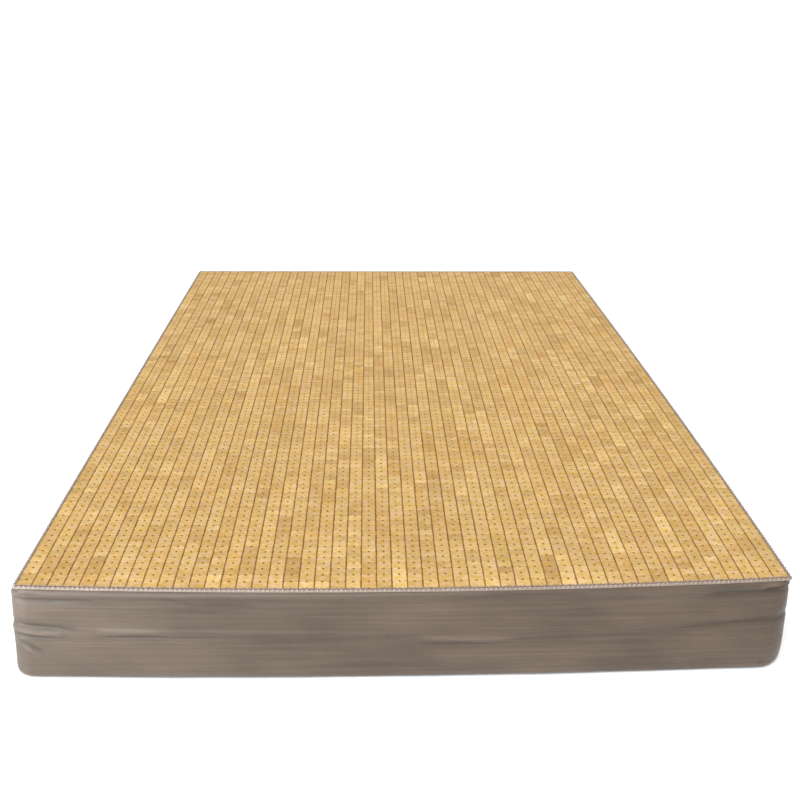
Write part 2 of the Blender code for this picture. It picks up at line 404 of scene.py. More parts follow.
def blend_colours(tree, factor, first, second, blend="MIX"):
    """Mix two colours."""
    made = add_node(tree, "ShaderNodeMix", data_type="RGBA", blend_type=blend)
    for socket, value in ((0, factor), (6, first), (7, second)):
        if isinstance(value, bpy.types.NodeSocket):
            tree.links.new(value, made.inputs[socket])
        elif socket == 0:
            made.inputs[0].default_value = value
        else:
            made.inputs[socket].default_value = (*value[:3], 1.0)
    return made.outputs[2]


def scaled(tree, vector, factors):
    """A vector or a colour, scaled by three factors or by one mask."""
    pairs = [(0, vector), (1, factors)]
    return add_node(tree, "ShaderNodeVectorMath", pairs, operation="MULTIPLY").outputs[0]


def times(tone, factor):
    """A paler or a deeper colour."""
    return tuple(min(1.0, factor * part) for part in tone)


def noise(tree, vector, scale, detail=3.0, roughness=0.55):
    """Noise from 0 to 1."""
    pairs = [("Vector", vector), ("Scale", scale)]
    pairs += [("Detail", detail), ("Roughness", roughness)]
    return add_node(tree, "ShaderNodeTexNoise", pairs).outputs[0]


def named_values(tree, name):
    """The vector held in a piece's own attribute."""
    made = tree.nodes.new("ShaderNodeAttribute")
    made.attribute_name = name
    return made.outputs["Vector"]


def named_parts(tree, name):
    """The three parts of such a vector."""
    return add_node(tree, "ShaderNodeSeparateXYZ", [(0, named_values(tree, name))]).outputs


def new_group(name, inputs, outputs):
    """An empty shader node group, with its input and output nodes."""
    group = bpy.data.node_groups.new(name, "ShaderNodeTree")
    for socket, kind, default in inputs:
        made = group.interface.new_socket(socket, in_out="INPUT", socket_type=kind)
        if default is not None:
            made.default_value = default
    for socket in outputs:
        group.interface.new_socket(socket, in_out="OUTPUT", socket_type="NodeSocketFloat")
    return group, group.nodes.new("NodeGroupInput"), group.nodes.new("NodeGroupOutput")


def shared_group(name, build):
    """The named group, built the first time that it is asked for."""
    return bpy.data.node_groups.get(name) or build(name)


def build_weave_group(name):
    """Threads that pass over and under each other, on a map in metres."""
    group, source, target = new_group(
        name,
        [("Way", "NodeSocketVector", None), ("Threads per metre", "NodeSocketFloat", 1500.0)],
        ["Height", "Gap"])
    half_turns = sums(group, "MULTIPLY", source.outputs["Threads per metre"], math.pi)
    split = add_node(group, "ShaderNodeSeparateXYZ", [(0, source.outputs["Way"])])
    warp = sums(group, "SINE", sums(group, "MULTIPLY", split.outputs[0], half_turns))
    weft = sums(group, "SINE", sums(group, "MULTIPLY", split.outputs[1], half_turns))
    over = remap(group, sums(group, "MULTIPLY", warp, weft), -0.15, 0.15)
    warp_high = sums(group, "MULTIPLY", sums(group, "ABSOLUTE", warp), over)
    under = sums(group, "SUBTRACT", 1.0, over)
    weft_high = sums(group, "MULTIPLY", sums(group, "ABSOLUTE", weft), under)
    height = sums(group, "ADD", warp_high, weft_high)
    group.links.new(height, target.inputs["Height"])
    # The Gap mask marks where the materials paint shade between the threads.
    group.links.new(remap(group, height, 0.35, 0.0), target.inputs["Gap"])
    return group


def build_twist_group(name):
    """The slanting strands of a yarn: Way holds metres along it, and the cosine
    and sine of the angle round it."""
    group, source, target = new_group(
        name,
        [("Way", "NodeSocketVector", None), ("Turns per metre", "NodeSocketFloat", 300.0)],
        ["Height", "Gap"])
    split = add_node(group, "ShaderNodeSeparateXYZ", [(0, source.outputs["Way"])])
    turns = sums(group, "MULTIPLY", source.outputs["Turns per metre"], 2.0 * math.pi)
    angle = sums(group, "MULTIPLY", split.outputs[0], turns)
    first = sums(group, "MULTIPLY", sums(group, "SINE", angle), split.outputs[1])
    second = sums(group, "MULTIPLY", sums(group, "COSINE", angle), split.outputs[2])
    strand = remap(group, sums(group, "ADD", first, second), -1.0, 1.0)
    group.links.new(strand, target.inputs["Height"])
    # The Gap mask marks where the materials paint shade between the strands.
    group.links.new(remap(group, strand, 0.30, 0.0), target.inputs["Gap"])
    return group


def build_mottle_group(name):
    """Slow and fine unevenness of tone, from places in metres."""
    group, source, target = new_group(
        name,
        [("Place", "NodeSocketVector", None), ("Patches per metre", "NodeSocketFloat", 12.0)],
        ["Slow", "Fine"])
    slow = noise(group, source.outputs["Place"], source.outputs["Patches per metre"], 2.0)
    finer = sums(group, "MULTIPLY", source.outputs["Patches per metre"], 17.0)
    fine = noise(group, source.outputs["Place"], finer, 3.0)
    group.links.new(slow, target.inputs["Slow"])
    group.links.new(fine, target.inputs["Fine"])
    return group


def use_group(tree, name, build, inputs):
    """Place a shared group in a material."""
    return add_node(tree, "ShaderNodeGroup", inputs, node_tree=shared_group(name, build))


def weave(tree, way, threads):
    return use_group(tree, "Woven threads", build_weave_group,
                     [("Way", way), ("Threads per metre", threads)])


def twist(tree, way, turns):
    return use_group(tree, "Twisted yarn", build_twist_group,
                     [("Way", way), ("Turns per metre", turns)])


def mottle(tree, place, patches):
    return use_group(tree, "Mottle", build_mottle_group,
                     [("Place", place), ("Patches per metre", patches)])


def start_material(name, roughness, **fixed):
    """A Principled material with the values that are the same all over it."""
    material = bpy.data.materials.new(name)
    material.use_nodes = True
    tree = material.node_tree
    shader = tree.nodes["Principled BSDF"]
    shader.inputs["Roughness"].default_value = roughness
    for socket, value in fixed.items():
        shader.inputs[socket.replace("_", " ")].default_value = value
    return material, tree, shader


def bump(tree, shader, height, strength, distance):
    """Raise the surface in its shading."""
    pairs = [("Height", height), ("Strength", strength), ("Distance", distance)]
    raised = add_node(tree, "ShaderNodeBump", pairs)
    tree.links.new(raised.outputs[0], shader.inputs["Normal"])


def show_threads(tree, shader, threads, tone, gap_shade, share, strength, distance):
    """Colour a material, with painted shade in the gaps between its threads, and raise them.
    """
    gap = sums(tree, "MULTIPLY", threads.outputs["Gap"], share)
    tree.links.new(blend_colours(tree, gap, tone, gap_shade), shader.inputs["Base Color"])
    bump(tree, shader, threads.outputs["Height"], strength, distance)


def object_place(tree):
    return tree.nodes.new("ShaderNodeTexCoord").outputs["Object"]


# Materials


def bamboo_material(sizes, colours):
    """Split bamboo: tiles of unlike tone with fine fibres, patches of beige and
    yellow, and darker rims."""
    material, tree, shader = start_material("bamboo tiles", 0.42, Specular_IOR_Level=0.45)
    tone = named_parts(tree, "tile_tone")
    spot = named_parts(tree, "tile_place")
    seed = sums(tree, "MULTIPLY", spot[2], 41.0)
    pairs = [(0, object_place(tree)), (1, seed)]
    place = add_node(tree, "ShaderNodeVectorMath", pairs, operation="ADD").outputs[0]
    fibres = noise(tree, scaled(tree, place, (60.0, 1500.0, 1500.0)), 1.0, 3.0, 0.6)
    streaks = noise(tree, scaled(tree, place, (22.0, 330.0, 330.0)), 1.0, 2.0)
    clouds = noise(tree, scaled(tree, place, (45.0, 70.0, 70.0)), 1.0, 2.0)

    plain = blend_colours(tree, tone[0], colours.bamboo_deep, colours.bamboo_pale)
    orange = remap(tree, tone[1], 0.55, 1.0, 0.0, 0.45)
    warm = blend_colours(tree, orange, plain, colours.bamboo_orange)
    green = remap(tree, tone[1], 0.45, 0.0, 0.0, 0.32)
    base = blend_colours(tree, green, warm, colours.bamboo_green)
    fibre_tone = remap(tree, fibres, 0.30, 0.70, 0.95, 1.04)
    streak_tone = remap(tree, streaks, 0.30, 0.72, 0.93, 1.04)
    cloud_tone = remap(tree, clouds, 0.3, 0.7, 0.94, 1.05)
    grain = sums(tree, "MULTIPLY", fibre_tone, streak_tone)
    brightness = sums(tree, "MULTIPLY", grain, cloud_tone)

    pitch = MAT_WIDTH / sizes.columns
    half_wide = (pitch - sizes.column_gap) / 2
    half_long = (MAT_LENGTH / sizes.rows - sizes.row_gap) / 2
    to_end = sums(tree, "SUBTRACT", half_wide, sums(tree, "ABSOLUTE", spot[0]))
    to_side = sums(tree, "SUBTRACT", half_long, sums(tree, "ABSOLUTE", spot[1]))
    nearest = sums(tree, "MINIMUM", to_end, to_side)
    edge_tone = remap(tree, nearest, 0.0, 0.0008, 0.88, 1.0)
    brightness = sums(tree, "MULTIPLY", brightness, edge_tone)
    patches = noise(tree, scaled(tree, place, (90.0, 150.0, 150.0)), 1.0, 2.0)
    beige, yellow = (1.05, 1.07, 1.50), (0.95, 0.89, 0.62)
    tint = blend_colours(tree, remap(tree, patches, 0.36, 0.62), beige, yellow)
    tinted = blend_colours(tree, 1.0, base, tint, "MULTIPLY")
    tree.links.new(scaled(tree, tinted, brightness), shader.inputs["Base Color"])
    tree.links.new(remap(tree, streaks, 0.3, 0.7, 0.36, 0.50), shader.inputs["Roughness"])
    bump(tree, shader, fibres, 0.35, 0.0002)
    return material


def cord_material(colours):
    """Brown waxed cord, with its twist."""
    material, tree, shader = start_material("stringing cord", 0.75, Specular_IOR_Level=0.2)
    strands = twist(tree, named_values(tree, "thread_way"), 340.0)
    spread = mottle(tree, object_place(tree), 9.0)
    tone = blend_colours(tree, spread.outputs["Slow"], colours.cord, times(colours.cord, 1.5))
    show_threads(tree, shader, strands, tone, times(colours.cord, 0.45), 1.0, 0.6, 0.0004)
    return material


def net_material(colours):
    """The open net cloth under the tiles."""
    material, tree, shader = start_material("net cloth", 0.85, Sheen_Weight=0.1)
    place = object_place(tree)
    threads = weave(tree, place, 900.0)
    spread = mottle(tree, place, 6.0)
    tone = blend_colours(tree, spread.outputs["Slow"], colours.cord, times(colours.cord, 1.35))
    show_threads(tree, shader, threads, tone, times(colours.cord, 0.35), 1.0, 0.5, 0.0004)
    return material


def yarn_material(name, yarn, turns, glow):
    """Twisted braid yarn."""
    material, tree, shader = start_material(name, 0.55, Sheen_Weight=glow, Sheen_Roughness=0.4)
    strands = twist(tree, named_values(tree, "thread_way"), turns)
    spread = mottle(tree, object_place(tree), 25.0)
    tone = blend_colours(tree, spread.outputs["Slow"], times(yarn, 0.78), times(yarn, 1.22))
    show_threads(tree, shader, strands, tone, times(yarn, 0.62), 0.8, 0.7, 0.0006)
    return material


def cloth_material(colours):
    """Fine satin: close threads with slubs and painted shade between them, streaks where
    it is pulled, a soft sheen, and creases with a painted highlight on their ridges
    and painted shade in their troughs."""
    material, tree, shader = start_material(
        "taupe satin", 0.46, Sheen_Weight=0.12, Sheen_Roughness=0.35, Specular_IOR_Level=0.35)
    way = add_node(tree, "ShaderNodeUVMap", uv_map="cloth_way").outputs[0]
    threads = weave(tree, way, 1700.0)
    slubs = noise(tree, scaled(tree, way, (28.0, 1400.0, 1.0)), 1.0, 2.0)
    ribs = noise(tree, scaled(tree, way, (900.0, 40.0, 1.0)), 1.0, 2.0)
    spread = mottle(tree, object_place(tree), 5.0)
    cloth = colours.cloth
    slow = blend_colours(tree, spread.outputs["Slow"], times(cloth, 0.90), times(cloth, 1.12))
    pulled = noise(tree, scaled(tree, object_place(tree), (3.0, 3.0, 190.0)), 1.0, 3.0, 0.6)
    streaked = scaled(tree, slow, remap(tree, pulled, 0.34, 0.68, 0.87, 1.15))
    # Painted shade in the creases' troughs and painted highlight on their ridges, from the
    # fold heights.
    folds = named_parts(tree, "fold_height")
    crease_shaded = scaled(tree, streaked, remap(tree, folds[0], -0.0034, 0.0034, 0.70, 1.28))
    slub_tone = remap(tree, sums(tree, "MAXIMUM", slubs, ribs), 0.45, 0.75, 0.0, 0.22)
    lit = blend_colours(tree, slub_tone, crease_shaded, times(cloth, 1.5))
    # Painted shade in the gaps between the threads.
    gap = sums(tree, "MULTIPLY", threads.outputs["Gap"], 0.35)
    woven = blend_colours(tree, gap, lit, times(cloth, 0.6))
    tree.links.new(woven, shader.inputs["Base Color"])
    height = sums(tree, "ADD", threads.outputs["Height"], sums(tree, "MULTIPLY", slubs, 1.2))
    bump(tree, shader, height, 0.35, 0.00025)
    gloss = remap(tree, spread.outputs["Fine"], 0.3, 0.7, 0.42, 0.54)
    tree.links.new(gloss, shader.inputs["Roughness"])
    return material


def ticking_material(colours):
    """Plain off-white mattress cloth."""
    material, tree, shader = start_material("mattress ticking", 0.82, Sheen_Weight=0.15)
    place = object_place(tree)
    threads = weave(tree, place, 1300.0)
    spread = mottle(tree, place, 4.0)
    ticking = colours.ticking
    tone = blend_colours(tree, spread.outputs["Slow"], times(ticking, 0.93), ticking)
    show_threads(tree, shader, threads, tone, times(ticking, 0.7), 0.4, 0.4, 0.0003)
    return material


# The solid's own shape


def bowed(x, y, share=1.0):
    """Where points of the square plan lie once its four sides bulge."""
    across, along = x / HALF_W, y / HALF_L
    side_bow = np.where(x > 0, BOW_RIGHT * (1.0 + BOW_RIGHT_SKEW * along), BOW_LEFT)
    end_bow = np.where(y > 0, BOW_BACK, BOW_FRONT)
    return (
        x + share * side_bow * across * np.maximum(0.0, 1.0 - along * along),
        y + share * end_bow * along * np.maximum(0.0, 1.0 - across * across),
    )


def droop(x, y):
    """How far the rim sinks at places on the mat, or beside it."""
    across, along = x / HALF_W, y / HALF_L
    from_end = np.clip((HALF_L - np.abs(y)) / DROOP_STRIP, 0.0, 1.0)
    from_side = np.clip((HALF_W - np.abs(x)) / DROOP_STRIP, 0.0, 1.0)
    at_end = DROOP_ENDS * (1.0 - from_end) * np.maximum(0.0, 1.0 - across * across)
    at_side = DROOP_SIDES * (1.0 - from_side) * np.maximum(0.0, 1.0 - along * along)
    return at_end + at_side


def wall_share(z):
    """The share of the bows at a height on a wall."""
    return BOW_AT_FOOT + (1.0 - BOW_AT_FOOT) * z / MAT_TOP


def ease(value, low, high):
    """A smooth step from 0 at low to 1 at high."""
    run = np.clip((value - low) / (high - low), 0.0, 1.0)
    return run * run * (3.0 - 2.0 * run)


def plan_ring(out, corners, steps):
    """Points and outward directions round the mat's plan, anticlockwise from the
    front left corner, as rows of x, y, out x, out y. steps are those along the
    front, the sides and the back."""
    half_w, half_l = HALF_W + out, HALF_L + out
    front_left, front_right, back_right, back_left = corners
    front_steps, side_steps, back_steps = steps
    straights = (
        ((front_left - half_w, -half_l), (half_w - front_right, -half_l), front_steps),
        ((half_w, front_right - half_l), (half_w, half_l - back_right), side_steps),
        ((half_w - back_right, half_l), (back_left - half_w, half_l), back_steps),
        ((-half_w, half_l - back_left), (-half_w, front_left - half_l), side_steps),
    )
    rows = []
    for number, (bend, (start, end, count)) in enumerate(zip(corners, straights)):
        toward_x = -1 if number in (0, 3) else 1
        toward_y = -1 if number in (0, 1) else 1
        turn = np.linspace(0.0, 1.0, CORNER_STEPS + 1)
        angles = np.radians(180.0 + 90.0 * (number + turn))
        outward = np.stack([np.cos(angles), np.sin(angles)], axis=1)
        centre = (toward_x * (half_w - bend), toward_y * (half_l - bend))
        rows.append(np.hstack([centre + bend * outward, outward]))
        run = np.linspace(0.0, 1.0, count + 1)[1:-1, None]
        places = np.array(start) * (1.0 - run) + np.array(end) * run
        rows.append(np.hstack([places, np.tile(np.round(outward[-1]), (len(run), 1))]))
    return np.vstack(rows)


def offset_corners(corners, out):
    """Corner radii of a ring that lies "out" past the one they are given for."""
    return [max(radius + out, TIGHTEST_CORNER) for radius in corners]


def smooth_profile(points, step, most):
    """Rows close together on a smooth line through the given ones, which it
    never overshoots."""
    points = np.array(points)
    spans = np.diff(points, axis=0)
    lengths = np.hypot(spans[:, 0], spans[:, 1])
    slopes = spans / lengths[:, None]
    product = slopes[:-1] * slopes[1:]
    total = np.where(product > 0.0, slopes[:-1] + slopes[1:], 1.0)
    middle = np.where(product > 0.0, 2.0 * product / total, 0.0)
    tangents = np.vstack([slopes[:1], middle, slopes[-1:]])
    rows = []
    for number, length in enumerate(lengths):
        steps = min(most, max(2, round(length / step)))
        t = (np.arange(steps) / steps)[:, None]
        start, end = points[number], points[number + 1]
        leave, arrive = tangents[number] * length, tangents[number + 1] * length
        rows.append(
            start * (1 + 2 * t) * (1 - t) ** 2 + leave * t * (1 - t) ** 2
            + end * t * t * (3 - 2 * t) + arrive * t * t * (t - 1))
    rows.append(points[-1:])
    return np.vstack(rows)


# Modelling helpers


def deselect():
    bpy.ops.object.select_all(action="DESELECT")


def choose(piece):
    """Select one piece alone, and make it active."""
    deselect()
    piece.select_set(True)
    bpy.context.view_layer.objects.active = piece


def edit(piece):
    choose(piece)
    bpy.ops.object.mode_set(mode="EDIT")


def leave_edit():
    bpy.ops.object.mode_set(mode="OBJECT")


def pick(piece, kind, test):
    """In edit mode, select the parts of one kind that pass the test."""
    bpy.ops.mesh.select_mode(type=kind)
    bpy.ops.mesh.select_all(action="DESELECT")
    shape = bmesh.from_edit_mesh(piece.data)
    parts = {"VERT": shape.verts, "EDGE": shape.edges, "FACE": shape.faces}[kind]
    for part in parts:
        if test(part):
            part.select_set(True)
    shape.select_flush_mode()
    bmesh.update_edit_mesh(piece.data)


def apply_modifiers(piece):
    """Apply all of a piece's modifiers, in order."""
    choose(piece)
    for modifier in list(piece.modifiers):
        bpy.ops.object.modifier_apply(modifier=modifier.name)


def repeat(piece, count, offset):
    """Repeat a piece in a row, each copy its own closed body."""
    row = piece.modifiers.new("Row", "ARRAY")
    row.count = count
    row.use_relative_offset = False
    row.use_constant_offset = True
    row.constant_offset_displace = offset


def points_of(mesh):
    values = np.empty(len(mesh.vertices) * 3)
    mesh.vertices.foreach_get("co", values)
    return values.reshape(-1, 3)


def place_points(mesh, points):
    mesh.vertices.foreach_set("co", np.ascontiguousarray(points).ravel())
    mesh.update()


def store(mesh, name, values):
    """Keep a vector for each point under a name that the material reads."""
    layer = mesh.attributes.new(name, "FLOAT_VECTOR", "POINT")
    layer.data.foreach_set("vector", np.ascontiguousarray(values, dtype=np.float64).ravel())


def dress(piece, name, material, slot, *nodes):
    """Name a piece, give it its material and put it on the body."""
    piece.name = name
    piece.data.name = name
    piece.data.materials.clear()
    piece.data.materials.append(material)
    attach(piece, "root")
    if nodes:
        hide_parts(*nodes)


def wrap_grid(rings, ways=None, name="", values=None):
    """A grid closed round into a tube through rings of points, with a map of
    its own in metres, and with named vectors that its material reads."""
    rows, columns = rings.shape[:2]
    deselect()
    bpy.ops.mesh.primitive_grid_add(
        x_subdivisions=columns, y_subdivisions=rows - 1, size=2.0)
    piece = bpy.context.object
    mesh = piece.data
    closed = np.concatenate([rings, rings[:, :1]], axis=1)
    place_points(mesh, closed.reshape(-1, 3))
    if ways is not None:
        corners = np.empty(len(mesh.loops), dtype=np.int64)
        mesh.loops.foreach_get("vertex_index", corners)
        layer = mesh.uv_layers[0]
        layer.name = "cloth_way"
        layer.data.foreach_set("uv", ways.reshape(-1, 2)[corners].ravel())
    if values is not None:
        store(mesh, name, np.concatenate([values, values[:, :1]], axis=1))
    edit(piece)
    bpy.ops.mesh.select_mode(type="VERT")
    bpy.ops.mesh.select_all(action="SELECT")
    bpy.ops.mesh.remove_doubles(threshold=TINY)
    leave_edit()
    return piece


def face_out(piece):
    """Turn a tube's faces outwards, going by one at its front."""
    front = min(piece.data.polygons, key=lambda face: face.center.y)
    if front.normal.y > 0.0:
        piece.data.flip_normals()


# Cover


def fullness(x, y, z):
    """Extra room beside the front corners, opening from the seam down."""
    total = np.zeros_like(x)
    for side, half_way, at_foot, reach in CORNER_FULLNESS:
        apart = np.hypot(x - side * HALF_W, y + HALF_L) / reach
        opened = np.clip((MAT_UNDER - z) / FULLNESS_OPENS, 0.0, 1.0)
        low = np.maximum(0.0, 1.0 - 2.0 * z / MAT_UNDER)
        total += (half_way * (1.0 - low) + at_foot * low) * opened * np.exp(-apart * apart)
    return total


def crease_height(creases, along, z):
    """The sum of one face's ridges and troughs."""
    total = np.zeros_like(along)
    for start, start_z, end, end_z, half_width, height in creases:
        run = (along - start) / (end - start)
        inside = (run > 0.0) & (run < 1.0)
        apart = (z - start_z - run * (end_z - start_z)) / half_width
        swell = np.sqrt(np.sin(math.pi * np.clip(run, 0.0, 1.0)).clip(0.0))
        total += np.where(inside, height * np.exp(-apart * apart) * swell, 0.0)
    return total


def pull_marks(axis, rng):
    """The pulls of one face, as creases."""
    reach = (HALF_W, HALF_L)[axis]
    marks = []
    for _ in range(PULL_COUNT):
        run = rng.uniform(0.3, 1.0) * PULL_LONGEST
        start = rng.uniform(-reach, reach - run)
        place = rng.uniform(*PULL_BAND)
        rise = rng.normal(0.0, PULL_RISE)
        width = rng.uniform(*PULL_WIDTHS)
        height = rng.uniform(-1.0, 1.0) * PULL_HIGHEST
        marks.append((start, place, start + run, place + rise, width, height))
    return tuple(marks)


def slack(x, y, z, ring):
    """Creases, the dent and slow unevenness, each on the faces it belongs to."""
    total = np.zeros_like(x)
    rng = np.random.default_rng(CLOTH_SEED)
    for creases, out_axis, sign, along_axis in FACES:
        creases += pull_marks(along_axis, rng)
        along = (x, y)[along_axis]
        facing = ease(sign * ring[:, 2 + out_axis], *FACING_RANGE)
        total += facing * crease_height(creases, along, z)
    dent_x, dent_z, reach, depth = DENT
    apart = np.hypot(x - dent_x, z - dent_z) / reach
    total -= np.where(y < 0.0, depth * np.exp(-apart * apart), 0.0)
    drift = SLACK_DRIFT * np.sin(DRIFT_RATES[0] * x + DRIFT_RATES[1] * y)
    for per_metre, per_height, height in SLACK_WAVES:
        phase = 2.0 * math.pi * (per_metre * (x - y) + per_height * z)
        total += height * np.sin(phase + drift)
    return total


def cloth_rings(steps):
    """The cloth's rows of points, their places on the flat cloth, and how far its
    creases raise them."""
    profile = smooth_profile(CLOTH_ROWS[:-1], ROW_STEP, MOST_ROWS)
    hem = np.linspace(CLOTH_ROWS[-2], CLOTH_ROWS[-1], HEM_ROWS + 1)[1:]
    profile = np.vstack([profile, hem])
    rings, ways, raised = [], [], []
    down = np.concatenate([[0.0], np.cumsum(np.hypot(*np.diff(profile, axis=0).T))])
    for (out, height), below in zip(profile, down):
        low = 1.0 - height / MAT_UNDER
        radii = [SEAM_CORNER + (radius - SEAM_CORNER) * low for radius in FOOT_CORNERS]
        ring = plan_ring(out, offset_corners(radii, out), steps)
        x, y, out_x, out_y = ring.T
        seam = float(ease(height, WALL_HEAD, SEAM_FOOT))
        z = np.full_like(x, height) - droop(x, y) * seam
        under_seam = 1.0 - float(ease(height, *CREASES_END))
        on_wall = under_seam * float(ease(height, *FOOT_RANGE))
        folds = on_wall * slack(x, y, np.full_like(x, height), ring)
        room = (1.0 - seam) * fullness(x, y, z) * np.abs(out_x) * (height > TINY)
        x, y = bowed(x + (room + folds) * out_x, y + folds * out_y, wall_share(z))
        rings.append(np.stack([x, y, z], axis=1))
        # The fold heights are kept for the cloth's material, which paints shade in the troughs
        # and a highlight on the ridges.
        raised.append(np.stack([folds, room, 0.0 * folds], axis=1))
        run = np.hypot(*np.diff(np.vstack([ring[:, :2], ring[:1, :2]]), axis=0).T)
        across = np.concatenate([[0.0], np.cumsum(run)])
        ways.append(np.stack([across, np.full(len(x) + 1, below)], axis=1))
    return np.array(rings), np.array(ways), np.array(raised)


class MAT_OT_cover(bpy.types.Operator):
    """Taupe cloth that goes round all four sides, with its hem turned under"""

    bl_idname = "bamboo_mat.cover"
    bl_label = "Cloth cover"

    def execute(self, context):
        colours = context.scene.bamboo_mat.colours
        rings, ways, raised = cloth_rings(COVER_STEPS)
        cloth = wrap_grid(rings, ways, "fold_height", raised)
        face_out(cloth)
        thick = cloth.modifiers.new("Cloth", "SOLIDIFY")
        thick.thickness = CLOTH_THICK
        thick.offset = -1.0
        apply_modifiers(cloth)
        bpy.ops.object.shade_smooth()
        dress(cloth, "cover_cloth", cloth_material(colours), "taupe_cloth", "cover_skirt")
        return {"FINISHED"}


# Mattress


class MAT_OT_mattress(bpy.types.Operator):
    """The plain mattress that the cover fits"""

    bl_idname = "bamboo_mat.mattress"
    bl_label = "Mattress"

    def execute(self, context):
        colours = context.scene.bamboo_mat.colours
        rings = []
        rows = smooth_profile(MATTRESS_ROWS, MATTRESS_ROW_STEP, MATTRESS_MOST_ROWS)
        for out, height in rows:
            ring = plan_ring(out, offset_corners(MATTRESS_CORNERS, out), MATTRESS_STEPS)
            x, y = bowed(ring[:, 0], ring[:, 1], wall_share(height))
            rings.append(np.stack([x, y, np.full_like(x, height)], axis=1))
        block = wrap_grid(np.array(rings))
        edit(block)
        bpy.ops.mesh.select_mode(type="EDGE")
        bpy.ops.mesh.select_all(action="DESELECT")
        bpy.ops.mesh.select_non_manifold()
        bpy.ops.mesh.fill_holes(sides=0)
        bpy.ops.mesh.select_all(action="SELECT")
        bpy.ops.mesh.normals_make_consistent(inside=False)
        leave_edit()
        bpy.ops.object.shade_smooth_by_angle(angle=math.radians(40))
        dress(block, "mattress_body", ticking_material(colours), "ticking", "mattress")
        return {"FINISHED"}


# Tile field


def model_tile(sizes):
    """One tile at the origin, its top rim worn and both long edges notched."""
    wide = MAT_WIDTH / sizes.columns - sizes.column_gap
    long = MAT_LENGTH / sizes.rows - sizes.row_gap
    worn = sizes.tile_rim * RIM_DROP
    thick = sizes.tile_thick - worn
    deselect()
    bpy.ops.mesh.primitive_cube_add(size=1.0, location=(0.0, 0.0, 0.0))
    tile = bpy.context.object
    bpy.ops.object.mode_set(mode="EDIT")
    bpy.ops.transform.resize(value=(wide, long, thick))
    pick(tile, "EDGE", lambda edge: abs(edge.verts[0].co.z - edge.verts[1].co.z) > thick / 2)
    bpy.ops.mesh.bevel(offset=sizes.tile_corner, segments=1, affect="EDGES")
    for cut in (-sizes.notch_wide / 2, 0.0, sizes.notch_wide / 2):
        bpy.ops.mesh.select_all(action="SELECT")
        bpy.ops.mesh.bisect(plane_co=(cut, 0.0, 0.0), plane_no=(1.0, 0.0, 0.0))
    pick(tile, "VERT", lambda point: abs(point.co.x) < TINY)
    pulled = 1.0 - 2.0 * sizes.notch_deep / long
    bpy.ops.transform.resize(value=(1.0, pulled, 1.0), center_override=(0.0, 0.0, 0.0))
    pick(tile, "FACE", lambda face: face.normal.z > 0.9)
    bpy.ops.mesh.inset(thickness=sizes.tile_rim)
    bpy.ops.transform.translate(value=(0.0, 0.0, worn))
    bpy.ops.mesh.select_all(action="SELECT")
    bpy.ops.transform.translate(value=(0.0, 0.0, -thick / 2 - worn))
    leave_edit()
    bpy.ops.object.shade_smooth_by_angle(angle=math.radians(25))
    return tile


def lay_tiles(block, first, count, slips, sizes, rng):
    """Put the tiles of some columns where they lie, each a little off true."""
    mesh = block.data
    points = points_of(mesh)
    rows = sizes.rows
    corners = len(points) // (count * rows)
    number = np.arange(len(points)) // corners
    column, row = number // rows, number % rows
    wide, long = MAT_WIDTH / sizes.columns, MAT_LENGTH / rows
    local = points - np.stack([column * wide, row * long, np.zeros(len(points))], axis=1)

    def each(spread):
        most = OFF_TRUE_MOST * spread
        return rng.normal(0.0, spread, count * rows)[number].clip(-most, most)

    yaw, tip, lean = each(TILE_TURN), each(TILE_TIP), each(TILE_LEAN)
    x = local[:, 0] - yaw * local[:, 1]
    y = local[:, 1] + yaw * local[:, 0]
    z = local[:, 2] + tip * local[:, 0] + lean * local[:, 1] + each(TILE_RISE)
    x += -HALF_W + (first + column + 0.5) * wide + each(TILE_ACROSS)
    # The outermost tiles reach out to the braid.
    reach = sizes.column_gap / 2
    x -= reach * ((first + column == 0) & (local[:, 0] < 0.0))
    x += reach * ((first + column == sizes.columns - 1) & (local[:, 0] > 0.0))
    y += -HALF_L + (row + 0.5) * long + each(TILE_ALONG) + slips[row, first + column]
    sunk = droop(x, y)
    x, y = bowed(x, y)
    place_points(mesh, np.stack([x, y, MAT_TOP + z - sunk], axis=1))

    tone = strip_runs(count, rows, STRIP_TONE, rng) + rng.normal(0.5, TILE_TONE, count * rows)
    hue = strip_runs(count, rows, STRIP_HUE, rng) + rng.normal(0.5, TILE_HUE, count * rows)
    seed = rng.uniform(0.0, 1.0, count * rows)
    tones = np.stack([tone, hue, seed], axis=1).clip(0.0, 1.0)
    store(mesh, "tile_tone", tones[number])
    store(mesh, "tile_place", np.stack([local[:, 0], local[:, 1], seed[number]], axis=1))


def strip_runs(columns, rows, spread, rng):
    """A value for each tile: tiles next to each other in a column were often cut
    from one strip, and share it."""
    values = np.empty((columns, rows))
    for column in range(columns):
        row = 0
        while row < rows:
            run = int(rng.integers(1, LONGEST_STRIP + 1))
            values[column, row:row + run] = rng.normal(0.0, spread)
            row += run
    return values.ravel()


def column_slips(sizes, rng):
    """How far each tile has slipped along its column: neighbours slip together,
    and a column as a whole lies a little ahead of the next."""
    ahead = rng.normal(0.0, COLUMN_AHEAD, sizes.columns).clip(-AHEAD_MOST, AHEAD_MOST)
    rows = np.arange(sizes.rows)[:, None] / sizes.rows
    waves = sum(
        rng.normal(0.0, COLUMN_WAVE, sizes.columns)
        * np.sin(2 * math.pi * (turns * rows + shift))
        for turns, shift in ((1.0, 0.10), (2.0, 0.45), (3.0, 0.80)))
    at_ends = np.sin(math.pi * (rows + 0.5 / sizes.rows)) ** 0.25
    return (ahead + waves) * at_ends


